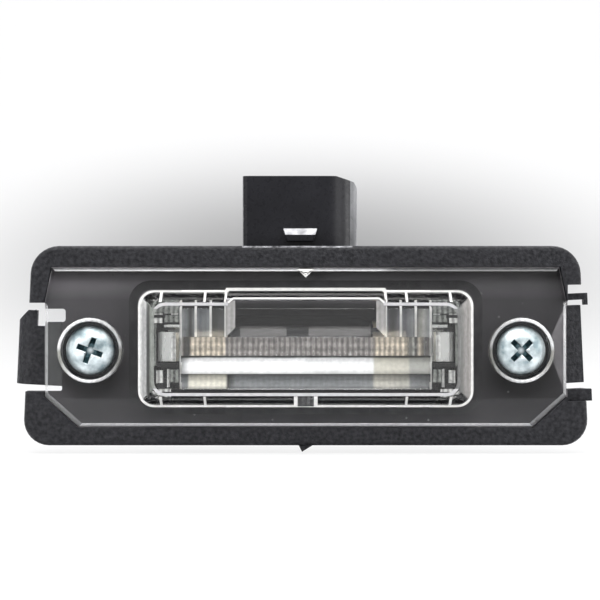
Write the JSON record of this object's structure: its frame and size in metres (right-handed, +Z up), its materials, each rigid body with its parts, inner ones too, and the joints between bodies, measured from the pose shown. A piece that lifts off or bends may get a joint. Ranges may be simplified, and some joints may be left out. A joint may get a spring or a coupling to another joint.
{
  "type": "number plate lamp",
  "caption": "Car number plate lamp: a black housing with a snap tongue and a plug socket, a clear lens with optic bands held by screws, and a festoon bulb in spring contacts.",
  "frame": {"origin": "midway between the two screws, on the seating face at the back of the flange", "axes": "+Y points back into the car's panel along the screws, +X to the right side seen from the front, +Z up towards the mouth of the connector"},
  "size_m": [0.0969, 0.0224, 0.0465],
  "materials": {
    "housing_plastic": "black glass-filled plastic with a fine pebbled grain",
    "lens_plastic": "clear polished plastic with fine flutes and prism bands inside",
    "seal_rubber": "soft black foam rubber",
    "screw_zinc": "bright zinc with worn recess edges",
    "bulb_glass": "clear thin glass",
    "cap_metal": "dull nickelled brass",
    "tungsten": "dark grey drawn wire",
    "lead_wire": "grey nickel wire",
    "solder": "dull grey solder",
    "spring_tin": "tinned spring steel",
    "strip_brass": "plain brass sheet",
    "rivet_brass": "bright brass"
  },
  "bodies": {
    "root": {"housing": "housing_plastic", "lens": "lens_plastic", "lens_seal": "seal_rubber", "screw_left": "screw_zinc", "screw_right": "screw_zinc", "bulb_glass": "bulb_glass", "bulb_cap_left": "cap_metal", "bulb_cap_right": "cap_metal", "bulb_filament": "tungsten", "bulb_lead_left": "lead_wire", "bulb_lead_right": "lead_wire", "bulb_solder_left": "solder", "bulb_solder_right": "solder", "contact_spring_left": "spring_tin", "contact_spring_right": "spring_tin", "terminal_left": "strip_brass", "terminal_right": "strip_brass", "rivet_left": "rivet_brass", "rivet_right": "rivet_brass"}
  },
  "joints": []
}
